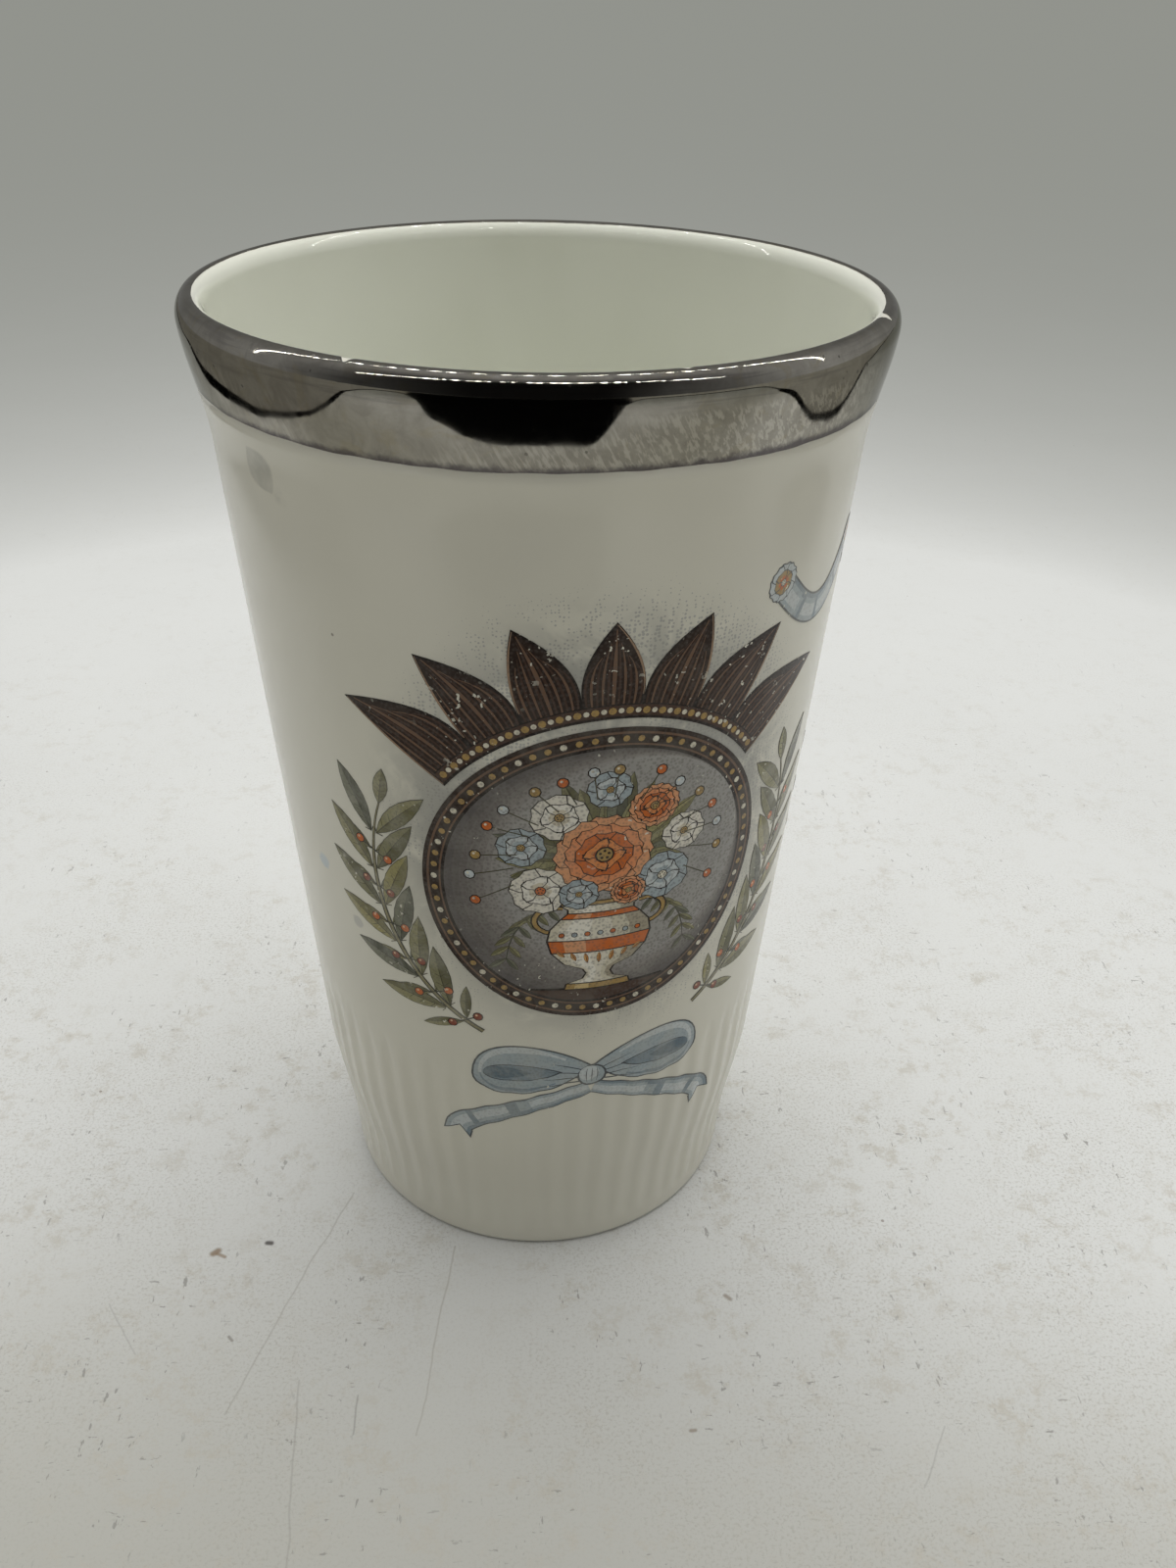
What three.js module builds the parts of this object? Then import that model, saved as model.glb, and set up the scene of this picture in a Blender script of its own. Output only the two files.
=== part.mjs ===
// Porcelain tumbler without a handle: a tapered body with a swollen lip, a softly fluted skirt and a foot
// ring, a film of metal lustre fired over the rim, and islands of enamel print fired onto the glaze.
// Millimetres, +Z up. The origin is on the table, in the middle of the foot, and the front faces -Y.
import * as THREE from 'three';
import { TessellateModifier } from 'three/addons/modifiers/TessellateModifier.js';
import { mergeVertices } from 'three/addons/utils/BufferGeometryUtils.js';

const { degToRad, lerp, smoothstep } = THREE.MathUtils;

// Wall: a straight cone outside, whose radii are given where it would meet the table and the lip's top.
const cupHeight = 114;
const wallRadiusAtTable = 26.55;
const wallRadiusAtTop = 35.08;
const wallSegments = 112;

// Inside: a straight cone from the lip down to a rounded corner and a flat floor.
const floorHeight = 5;
const innerRadiusAtFloor = 23.8;
const floorCornerRadius = 7;
const floorCornerSteps = 3;
const insideSegments = 56;

// Foot: a flat ring that stands on the table round a recessed underside.
const footOuterRadius = 24.56;
const footInnerRadius = 22.2;
const footRecessDepth = 1.6;
const footRecessTaper = 0.5;
const footRise = 1.1;

// Skirt: the wall draws in above the foot, and shallow flutes with arched tops run up it.
const skirtDrawIn = 1.1;
const skirtDrawInStart = 22;
const skirtDrawInEnd = 7;
const fluteCount = 56;
const flutePoints = 4;
const fluteDepth = 0.16;
const fluteStart = 2;
const fluteStartFade = 2;
const fluteTop = 35;
const fluteArch = 5;
const fluteTopFade = 6;
const skirtSteps = 2;
const fluteTopSteps = 3;

// Rim: the wall swells towards the lip, which is half an ellipse in section.
const rimSwell = 1.24;
const rimSwellDepth = 13.5;
const lipRise = 2.1;
const lipHalfWidth = 1.43;
const lipInnerSteps = 2;

// Lustre band: a film over the rim, let into the porcelain so that it ends up flush.
const bandDepth = 8.4;
const bandThickness = 0.15;
const bandClearance = 0.05;
const bandInnerAngle = degToRad(105);
const bandEndClearance = 0.1;
const rimSideSteps = 2;
const lipSteps = 3;

// Enamel print: films that follow the wall, drawn flat with x round the wall and y up it.
const printThickness = 0.15;
const printClearance = 0.15;
const printFacet = 5.2;
const printSplits = 8;
const printCurveSteps = 2;
const motifHeight = 61;
const frontMotifAzimuth = degToRad(12);
const sideMotifAzimuth = degToRad(132);

// Medallion: a round picture field.
const medallionRadius = 19;
const medallionRings = 4;
const medallionSegments = 26;

// Crest: a fan of pointed lobes over the medallion.
const crestGap = 1;
const crestHalfAngle = degToRad(54);
const crestLobes = 7;
const crestNotchRise = 2.6;
const crestSideReach = 14;
const crestTopReach = 10.4;
const crestSweep = degToRad(9);
const crestArcSteps = 8;

// Sprays: leafy stems that curve up either side of the medallion.
const sprayRadius = 25;
const sprayStartAngle = degToRad(30);
const sprayEndAngle = degToRad(98);
const sprayLeafPairs = 6;
const stemHalfWidth = 0.35;
const leafLength = 8.4;
const leafBulge = 2.3;
const leafSplay = degToRad(36);

// Bow: a tied ribbon under the medallion. Its tails bend down a set way below its loops.
const bowDrop = 28.6;
const knotHalfSize = 1.5;
const bowLoopReach = 14;
const bowLoopPinch = 5.6;
const bowLoopRise = 6.6;
const bowLoopFall = 3.8;
const bowTailReach = 17.5;
const bowTailBend = 2.2;
const bowTailDrop = 11.4;
const ribbonWidth = 3.6;

// Swag: a ribbon looped between the two motifs, a set way above their middles.
const swagRise = 30.5;
const swagHalfSpan = 16.4;
const swagSag = 5;
const swagWidth = 3.2;
const swagSteps = 12;

const bodyMaterial = new THREE.MeshStandardMaterial({ color: 0xe9e7dd, roughness: 0.12, metalness: 0 });
const lustreMaterial = new THREE.MeshStandardMaterial({ color: 0x8d8a86, roughness: 0.16, metalness: 1 });
const pictureMaterial = new THREE.MeshStandardMaterial({ color: 0x8f8a84, roughness: 0.25, metalness: 0 });
const crestMaterial = new THREE.MeshStandardMaterial({ color: 0x3f2f2a, roughness: 0.3, metalness: 0 });
const leafMaterial = new THREE.MeshStandardMaterial({ color: 0x76785f, roughness: 0.3, metalness: 0 });
const ribbonMaterial = new THREE.MeshStandardMaterial({ color: 0x9fb0ba, roughness: 0.25, metalness: 0 });

// Evenly spaced values from one end to the other, both ends included.
function steps(count, from, to) {
  return Array.from({ length: count + 1 }, (_, i) => lerp(from, to, i / count));
}

// Outer radius of the straight wall at a height.
function wallRadius(z) {
  return lerp(wallRadiusAtTable, wallRadiusAtTop, z / cupHeight);
}

const wallSlope = (wallRadiusAtTop - wallRadiusAtTable) / cupHeight;

// Outer radius of the rim's side, where the wall swells towards the lip.
function rimSideRadius(z) {
  return wallRadius(z) + rimSwell * smoothstep(z, cupHeight - rimSwellDepth, cupHeight - lipRise);
}

// The lip's ellipse starts where it runs on from the side without a corner.
const lipCentreHeight = cupHeight - lipRise;
const lipStartAngle = -Math.atan(wallSlope * lipRise / lipHalfWidth);
const lipStartHeight = lipCentreHeight + lipRise * Math.sin(lipStartAngle);
const lipCentreRadius = rimSideRadius(lipStartHeight) - lipHalfWidth * Math.cos(lipStartAngle);

// A point on the lip's ellipse, sunk below its face by an inset. Angle 0 faces out and 180 degrees in.
function lipPoint(angle, inset = 0) {
  const normal = new THREE.Vector2(lipRise * Math.cos(angle), lipHalfWidth * Math.sin(angle)).normalize();
  return new THREE.Vector2(
    lipCentreRadius + lipHalfWidth * Math.cos(angle) - normal.x * inset,
    lipCentreHeight + lipRise * Math.sin(angle) - normal.y * inset,
  );
}

// A point on the rim's side, sunk below its face by an inset.
function rimSidePoint(z, inset = 0) {
  const rise = 0.5 * lipRise;
  const slope = (rimSideRadius(z + rise) - rimSideRadius(z - rise)) / (2 * rise);
  const normal = new THREE.Vector2(1, -slope).normalize();
  return new THREE.Vector2(rimSideRadius(z) - normal.x * inset, z - normal.y * inset);
}

// The rim in section, from a height on its side over its top to an angle on its lip, sunk by an inset.
function rimOutline(fromHeight, toAngle, inset) {
  const side = steps(rimSideSteps, fromHeight, lipStartHeight).slice(0, -1);
  const lip = [...steps(lipSteps, lipStartAngle, Math.PI / 2), toAngle];
  return [
    ...side.map((z) => rimSidePoint(z, inset)),
    ...lip.map((angle) => lipPoint(angle, inset)),
  ];
}

// Turns a flat section point and an azimuth into a point on the cup. Azimuth 0 is the front.
function aroundCup(azimuth, radius, z) {
  return new THREE.Vector3(radius * Math.sin(azimuth), -radius * Math.cos(azimuth), z);
}

// A ring of points at one height, whose radius may change round the cup.
function ring(segments, z, radiusAt) {
  const azimuths = steps(segments, 0, 2 * Math.PI).slice(0, -1);
  return azimuths.map((azimuth) => aroundCup(azimuth, radiusAt(azimuth), z));
}

// Joins rings of points into one closed skin. A ring has as many points as the one before, or a whole
// number of times more or fewer, and the first and last are single points that close the ends.
function skinRings(rings) {
  const positions = rings.flat().flatMap((point) => point.toArray());
  const index = [];
  let start = 0;
  for (let k = 1; k < rings.length; k++) {
    const lower = rings[k - 1].length;
    const upper = rings[k].length;
    const count = Math.max(lower, upper);
    for (let i = 0; i < count; i++) {
      const next = (i + 1) % count;
      const a = start + Math.floor(i * lower / count);
      const aNext = start + Math.floor(next * lower / count);
      const b = start + lower + Math.floor(i * upper / count);
      const bNext = start + lower + Math.floor(next * upper / count);
      if (a !== aNext) index.push(a, aNext, bNext);
      if (b !== bNext) index.push(a, bNext, b);
    }
    start += lower;
  }
  const geometry = new THREE.BufferGeometry();
  geometry.setAttribute('position', new THREE.Float32BufferAttribute(positions, 3));
  geometry.setIndex(index);
  geometry.computeVertexNormals();
  return geometry;
}

// Outer radius of the skirt between its flutes.
function skirtRadius(z) {
  return wallRadius(z) - skirtDrawIn * (1 - smoothstep(z, skirtDrawInEnd, skirtDrawInStart));
}

// How far a flute cuts into the skirt: a hollow across, fading at the foot and under an arched top.
function fluteCut(azimuth, z) {
  const turn = azimuth * fluteCount / (2 * Math.PI);
  const across = 2 * (turn - Math.round(turn));
  const hollow = 0.5 * (1 + Math.cos(Math.PI * across));
  const archedTop = fluteTop - fluteArch * across * across;
  const above = smoothstep(z, archedTop - fluteTopFade, archedTop);
  const below = smoothstep(z, fluteStart, fluteStart + fluteStartFade);
  return fluteDepth * hollow * below * (1 - above);
}

// Section of the underside, from the recess out to where the skirt begins.
function footOutline() {
  const rounding = steps(2, -Math.PI / 2, 0).slice(0, -1);
  const roundingWidth = skirtRadius(footRise) - footOuterRadius;
  return [
    new THREE.Vector2(footInnerRadius - footRecessTaper, footRecessDepth),
    new THREE.Vector2(footInnerRadius, 0),
    ...rounding.map((angle) => new THREE.Vector2(
      footOuterRadius + roundingWidth * Math.cos(angle),
      footRise * (1 + Math.sin(angle)),
    )),
  ];
}

// Section of the inside, from the lip's inner face down to the floor.
function insideOutline() {
  const top = lipPoint(Math.PI);
  const slope = (top.x - innerRadiusAtFloor) / (top.y - floorHeight);
  const centreHeight = floorHeight + floorCornerRadius;
  const wallAtCentre = innerRadiusAtFloor + slope * floorCornerRadius;
  const lean = Math.atan(slope);
  const centreRadius = wallAtCentre - floorCornerRadius / Math.cos(lean);
  return steps(floorCornerSteps, -lean, -Math.PI / 2).map((angle) => new THREE.Vector2(
    centreRadius + floorCornerRadius * Math.cos(angle),
    centreHeight + floorCornerRadius * Math.sin(angle),
  ));
}

function makeBody() {
  const plain = (point) => ring(wallSegments, point.y, () => point.x);
  const fluted = (z) => ring(
    fluteCount * flutePoints, z, (azimuth) => skirtRadius(z) - fluteCut(azimuth, z));
  const inside = (point) => ring(insideSegments, point.y, () => point.x);
  const archHeight = fluteTop - fluteArch - fluteTopFade;
  const skirtHeights = [
    footRise,
    fluteStart,
    ...steps(skirtSteps, fluteStart + fluteStartFade, archHeight),
    ...steps(fluteTopSteps, archHeight, fluteTop).slice(1),
  ];
  const seatHeight = cupHeight - bandDepth - bandEndClearance;
  const seatAngle = bandInnerAngle + bandEndClearance / lipHalfWidth;
  const seat = rimOutline(seatHeight, seatAngle, bandThickness + bandClearance);
  return skinRings([
    [new THREE.Vector3(0, 0, footRecessDepth)],
    ...footOutline().map(plain),
    ...skirtHeights.map(fluted),
    plain(new THREE.Vector2(wallRadius(cupHeight - rimSwellDepth), cupHeight - rimSwellDepth)),
    plain(rimSidePoint(0.5 * (seatHeight + cupHeight - rimSwellDepth))),
    plain(rimSidePoint(seatHeight)),
    ...seat.map(plain),
    ...steps(lipInnerSteps, seatAngle, Math.PI).slice(0, -1).map((angle) => plain(lipPoint(angle))),
    ...[lipPoint(Math.PI), ...insideOutline()].map(inside),
    [new THREE.Vector3(0, 0, floorHeight)],
  ]);
}

function makeBand() {
  const outside = rimOutline(cupHeight - bandDepth, bandInnerAngle, 0);
  const inside = rimOutline(cupHeight - bandDepth, bandInnerAngle, bandThickness).reverse();
  const geometry = new THREE.LatheGeometry([...outside, ...inside, outside[0]], wallSegments);
  return geometry.rotateX(Math.PI / 2);
}

// Wraps a flat film round the wall, with its own origin at an azimuth and a height.
function wrapOnWall(geometry, azimuth, height) {
  const flat = geometry.attributes.position;
  const climb = Math.cos(Math.atan(wallSlope));
  for (let i = 0; i < flat.count; i++) {
    const z = height + flat.getY(i) * climb;
    const angle = azimuth + flat.getX(i) / wallRadius(z);
    const point = aroundCup(angle, rimSideRadius(z) + printClearance + flat.getZ(i), z);
    flat.setXYZ(i, point.x, point.y, point.z);
  }
  geometry.computeVertexNormals();
  return geometry;
}

// Makes a film of a flat outline, with facets small enough to follow the wall.
function filmFromShape(shape, azimuth, height) {
  const slab = new THREE.ExtrudeGeometry(shape, {
    depth: printThickness, bevelEnabled: false, curveSegments: printCurveSteps,
  });
  slab.deleteAttribute('normal');
  slab.deleteAttribute('uv');
  const fine = new TessellateModifier(printFacet, printSplits).modify(slab);
  return wrapOnWall(mergeVertices(fine), azimuth, height);
}

// Medallion: a disc of rings, its back face first and its front face after it.
function makeMedallion(azimuth) {
  const circle = (radius, depth) => steps(medallionSegments, 0, 2 * Math.PI).slice(0, -1).map(
    (angle) => new THREE.Vector3(radius * Math.cos(angle), radius * Math.sin(angle), depth));
  const radii = steps(medallionRings, 0, medallionRadius).slice(1);
  const disc = skinRings([
    [new THREE.Vector3(0, 0, 0)],
    ...radii.map((radius) => circle(radius, 0)),
    ...radii.reverse().map((radius) => circle(radius, printThickness)),
    [new THREE.Vector3(0, 0, printThickness)],
  ]);
  return wrapOnWall(disc, azimuth, motifHeight);
}

// Crest: along the medallion's edge one way, and back over the lobes. They are tallest in the middle and
// sweep outwards to the sides.
function crestShape() {
  const baseRadius = medallionRadius + crestGap;
  const polar = (radius, angle) => new THREE.Vector2(radius * Math.sin(angle), radius * Math.cos(angle));
  const shape = new THREE.Shape();
  const baseAngles = steps(crestArcSteps, -crestHalfAngle, crestHalfAngle);
  shape.setFromPoints(baseAngles.map((angle) => polar(baseRadius, angle)));
  const lobeAngle = 2 * crestHalfAngle / crestLobes;
  const notchRadius = baseRadius + crestNotchRise;
  for (let k = 0; k < crestLobes; k++) {
    const from = crestHalfAngle - k * lobeAngle;
    const to = from - lobeAngle;
    const aside = (from + to) / (2 * crestHalfAngle);
    const reach = lerp(crestTopReach, crestSideReach, Math.abs(aside));
    const tip = polar(baseRadius + reach, 0.5 * (from + to) + aside * crestSweep);
    const shoulderRadius = 0.5 * (tip.length() + notchRadius);
    const end = k < crestLobes - 1 ? polar(notchRadius, to) : polar(baseRadius, -crestHalfAngle);
    shape.quadraticCurveTo(...polar(shoulderRadius, from).toArray(), ...tip.toArray());
    shape.quadraticCurveTo(...polar(shoulderRadius, to).toArray(), ...end.toArray());
  }
  return shape;
}

// Spray: one outline up the outer side of the stem (out = 1), round its tip and down the inner side
// (out = -1), with a leaf at each node. Angles along the stem count from straight below the medallion.
function sprayShape(side) {
  const direction = (angle) => new THREE.Vector2(side * Math.sin(angle), -Math.cos(angle));
  const stemPoint = (angle, out) => direction(angle).multiplyScalar(sprayRadius + out * stemHalfWidth);
  const halfBase = stemHalfWidth / sprayRadius;
  const shape = new THREE.Shape();
  const leaf = (angle, out) => {
    const heading = angle + Math.PI / 2 - out * leafSplay;
    const base = stemPoint(angle, out);
    const tip = base.clone().addScaledVector(direction(heading), leafLength);
    const bulge = (turn) => base.clone().lerp(tip, 0.5)
      .addScaledVector(direction(heading + turn * Math.PI / 2), leafBulge);
    shape.lineTo(...stemPoint(angle - out * halfBase, out).toArray());
    shape.quadraticCurveTo(...bulge(-1).toArray(), ...tip.toArray());
    shape.quadraticCurveTo(...bulge(1).toArray(), ...stemPoint(angle + out * halfBase, out).toArray());
  };
  const leafAngles = steps(sprayLeafPairs, sprayStartAngle, sprayEndAngle).slice(1);
  shape.moveTo(...stemPoint(sprayStartAngle, -1).toArray());
  shape.lineTo(...stemPoint(sprayStartAngle, 1).toArray());
  leafAngles.forEach((angle) => leaf(angle, 1));
  shape.lineTo(...stemPoint(sprayEndAngle + leafLength / sprayRadius, 0).toArray());
  leafAngles.reverse().forEach((angle) => leaf(angle, -1));
  return shape;
}

// Bow: half of it from the knot's top, round the loop to the knot's side, out along the tail and back to
// the knot's foot, and its mirror.
function bowShape() {
  const tailInner = bowTailReach - ribbonWidth;
  const tailBend = bowLoopFall + bowTailBend;
  const half = new THREE.Path();
  half.moveTo(0, knotHalfSize);
  half.bezierCurveTo(bowLoopPinch, bowLoopRise, bowLoopReach, bowLoopRise, bowLoopReach, 0);
  half.bezierCurveTo(bowLoopReach, -bowLoopFall, bowLoopPinch, -bowLoopFall, knotHalfSize, 0);
  half.lineTo(knotHalfSize, -knotHalfSize);
  half.quadraticCurveTo(bowTailReach, -tailBend, bowTailReach, -bowTailDrop);
  half.lineTo(tailInner, -bowTailDrop);
  half.quadraticCurveTo(tailInner, -tailBend - ribbonWidth, 0, -knotHalfSize - 0.5 * ribbonWidth);
  const points = half.getPoints(2 * printCurveSteps);
  const mirrored = points.slice(1, -1).reverse().map((point) => new THREE.Vector2(-point.x, point.y));
  return new THREE.Shape([...points, ...mirrored]);
}

// Swag: a ribbon that hangs in two loops from its middle and its ends.
function swagShape() {
  const centre = (x) => -swagSag * Math.abs(Math.sin(Math.PI * x / swagHalfSpan));
  const stations = steps(swagSteps, -swagHalfSpan, swagHalfSpan);
  return new THREE.Shape([
    ...stations.map((x) => new THREE.Vector2(x, centre(x) - 0.5 * swagWidth)),
    ...stations.reverse().map((x) => new THREE.Vector2(x, centre(x) + 0.5 * swagWidth)),
  ]);
}

const cup = new THREE.Group();

function addPiece(name, geometry, material) {
  const mesh = new THREE.Mesh(geometry, material);
  mesh.name = name;
  cup.add(mesh);
}

addPiece('cup_body', makeBody(), bodyMaterial);
addPiece('rim_band', makeBand(), lustreMaterial);

for (const [place, azimuth] of [['front', frontMotifAzimuth], ['side', sideMotifAzimuth]]) {
  addPiece(`${place}_medallion`, makeMedallion(azimuth), pictureMaterial);
  addPiece(`${place}_crest`, filmFromShape(crestShape(), azimuth, motifHeight), crestMaterial);
  addPiece(`${place}_left_spray`, filmFromShape(sprayShape(-1), azimuth, motifHeight), leafMaterial);
  addPiece(`${place}_right_spray`, filmFromShape(sprayShape(1), azimuth, motifHeight), leafMaterial);
  addPiece(`${place}_bow`, filmFromShape(bowShape(), azimuth, motifHeight - bowDrop), ribbonMaterial);
}

const swagAzimuth = 0.5 * (frontMotifAzimuth + sideMotifAzimuth);
addPiece('ribbon_swag', filmFromShape(swagShape(), swagAzimuth, motifHeight + swagRise), ribbonMaterial);

export default cup;
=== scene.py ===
# Porcelain tumbler with a lustre rim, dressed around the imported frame. Meshes are drawn in millimetres and
# made in metres, the unit of the lights and the camera. Azimuth 0 is the front (-Y) and grows towards +X.
from math import atan, cos, pi, radians, sin, sqrt
from random import Random

import bpy
import numpy as np
from mathutils import Matrix, Vector
from mathutils.geometry import delaunay_2d_cdt


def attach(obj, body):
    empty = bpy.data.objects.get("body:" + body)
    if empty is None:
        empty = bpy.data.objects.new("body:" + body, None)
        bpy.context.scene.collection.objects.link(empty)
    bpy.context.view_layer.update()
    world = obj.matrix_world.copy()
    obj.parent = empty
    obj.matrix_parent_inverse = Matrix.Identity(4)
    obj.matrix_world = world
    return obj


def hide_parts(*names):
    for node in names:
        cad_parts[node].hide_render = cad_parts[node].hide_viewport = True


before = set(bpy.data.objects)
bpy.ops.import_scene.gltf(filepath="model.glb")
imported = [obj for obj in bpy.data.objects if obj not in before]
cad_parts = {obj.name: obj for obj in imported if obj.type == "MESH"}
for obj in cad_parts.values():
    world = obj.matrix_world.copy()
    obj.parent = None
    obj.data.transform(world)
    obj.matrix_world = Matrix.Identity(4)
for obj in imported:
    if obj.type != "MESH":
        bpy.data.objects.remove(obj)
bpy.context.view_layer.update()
scene = bpy.context.scene

MM = 0.001
TURN = 2 * pi

# The cup's form
HEIGHT = 114
WALL_LOW, WALL_TOP = 26.55, 35.08
FLOOR_HEIGHT, INNER_AT_FLOOR, CORNER = 5, 23.8, 7
FOOT_OUTER, FOOT_INNER, RECESS, RECESS_TAPER, FOOT_RISE = 24.56, 22.2, 1.6, 0.5, 1.1
DRAW_IN, DRAW_START, DRAW_END = 1.1, 22, 7
FLUTES, FLUTE_DEPTH, FLUTE_START, FLUTE_START_FADE = 56, 0.16, 2, 2
FLUTE_TOP, FLUTE_ARCH, FLUTE_TOP_FADE = 35, 5, 6
RIM_SWELL, RIM_DEPTH, LIP_RISE, LIP_HALF = 1.24, 13.5, 2.1, 1.43
BAND_DEPTH, BAND_FILM, BAND_INSET = 8.4, 0.05, 0.01
# Below this height the skirt's outline counts, above it the rim's.
MID_WALL = 60


def mix(a, b, t):
    return a + (b - a) * t


def smooth(x, a, b):
    t = np.clip((x - a) / (b - a), 0, 1)
    return t * t * (3 - 2 * t)


def wall_radius(z):
    return mix(WALL_LOW, WALL_TOP, z / HEIGHT)


SLOPE = (WALL_TOP - WALL_LOW) / HEIGHT
CLIMB = cos(atan(SLOPE))


def rim_radius(z):
    return wall_radius(z) + RIM_SWELL * smooth(z, HEIGHT - RIM_DEPTH, HEIGHT - LIP_RISE)


LIP_Z = HEIGHT - LIP_RISE
LIP_START = -atan(SLOPE * LIP_RISE / LIP_HALF)
LIP_START_Z = LIP_Z + LIP_RISE * sin(LIP_START)
LIP_R = rim_radius(LIP_START_Z) - LIP_HALF * cos(LIP_START)


def lip_point(angle, inset=0):
    """Radius and height on the round lip. The angle counts from straight out to straight in."""
    nx, nz = LIP_RISE * np.cos(angle), LIP_HALF * np.sin(angle)
    size = np.hypot(nx, nz)
    return (LIP_R + LIP_HALF * np.cos(angle) - nx / size * inset,
            LIP_Z + LIP_RISE * np.sin(angle) - nz / size * inset)


def rim_side(z, inset):
    """Radius and height on the swollen wall under the lip."""
    slope = rim_radius(z + 0.5) - rim_radius(z - 0.5)
    size = np.hypot(1, slope)
    return rim_radius(z) - inset / size, z + slope * inset / size


def flute_cut(azimuth, z):
    turn = azimuth * FLUTES / TURN
    across = 2 * (turn - np.round(turn))
    hollow = 0.5 * (1 + np.cos(pi * across))
    arched = FLUTE_TOP - FLUTE_ARCH * across ** 2
    above = smooth(z, arched - FLUTE_TOP_FADE, arched)
    below = smooth(z, FLUTE_START, FLUTE_START + FLUTE_START_FADE)
    return FLUTE_DEPTH * hollow * below * (1 - above)


def skirt_radius(z):
    return wall_radius(z) - DRAW_IN * (1 - smooth(z, DRAW_END, DRAW_START))


def outer_radius(azimuth, z):
    """The glazed outside below the band, flutes and all."""
    return np.maximum(skirt_radius(z), rim_radius(z) * (z > MID_WALL)) - flute_cut(azimuth, z)


# Mesh making
def placed(name, data):
    ob = bpy.data.objects.new(name, data)
    scene.collection.objects.link(ob)
    return ob


def make_object(name, verts, faces, materials, smooth_angle=40):
    mesh = bpy.data.meshes.new(name)
    mesh.from_pydata((np.asarray(verts) * MM).tolist(), [], faces, shade_flat=False)
    for material in materials:
        mesh.materials.append(material)
    mesh.set_sharp_from_angle(angle=radians(smooth_angle))
    return placed(name, mesh)


def around(azimuth, radius, z):
    return np.stack([radius * np.sin(azimuth), -radius * np.cos(azimuth), z + 0 * azimuth], -1)


def set_map(ob, uvs):
    layer = ob.data.uv_layers.new(name="OFBake")
    layer.uv.foreach_set("vector", np.asarray(uvs, np.float32).ravel())


def skin(name, rings, material, closed_loop=False):
    """Joins rings of points, of which neighbours have equal counts or one a multiple of the other's. The
    flat map is the turn and the way along the section."""
    points = np.concatenate(rings)
    starts = np.cumsum([0] + [len(r) for r in rings])
    mean = [np.array([np.hypot(r[:, 0], r[:, 1]).mean(), r[:, 2].mean()]) for r in rings]
    way = np.cumsum([0] + [np.linalg.norm(b - a) for a, b in zip(mean, mean[1:])])
    faces, uvs = [], []
    for k in range(len(rings) if closed_loop else len(rings) - 1):
        m = (k + 1) % len(rings)
        low, up = len(rings[k]), len(rings[m])
        count = max(low, up)
        v0, v1 = way[k], way[m] if m else way[k] + 1
        for i in range(count):
            corners = []
            for start, size, v, order in ((starts[k], low, v0, 1), (starts[m], up, v1, -1)):
                here, ahead = i * size // count, (i + 1) * size // count
                pair = [(start + here, i / count if size == 1 else here / size, v)]
                if ahead % size != here:
                    pair.append((start + ahead % size, ahead / size, v))
                corners += pair[::order]
            faces.append([int(corner[0]) for corner in corners])
            uvs += [corner[1:] for corner in corners]
    uvs = np.array(uvs)
    uvs[:, 1] /= uvs[:, 1].max()
    ob = make_object(name, points, faces, [material], 60)
    set_map(ob, uvs)
    return ob


def ring(count, radius, z):
    azimuth, z = np.arange(count) * TURN / count, np.full(count, float(z))
    return around(azimuth, radius(azimuth, z) if callable(radius) else np.full(count, float(radius)), z)


SKIRT_COLUMNS, WALL_COLUMNS, RIM_COLUMNS, BAND_COLUMNS = FLUTES * 12, FLUTES * 4, FLUTES * 8, FLUTES * 16
BAND_EDGE, BAND_STEP = 0.25, 0.12
FINE_FROM, FINE_TO = radians(60), radians(64)
SEAT_EDGE, SEAT = 0.15, 0.4


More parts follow.
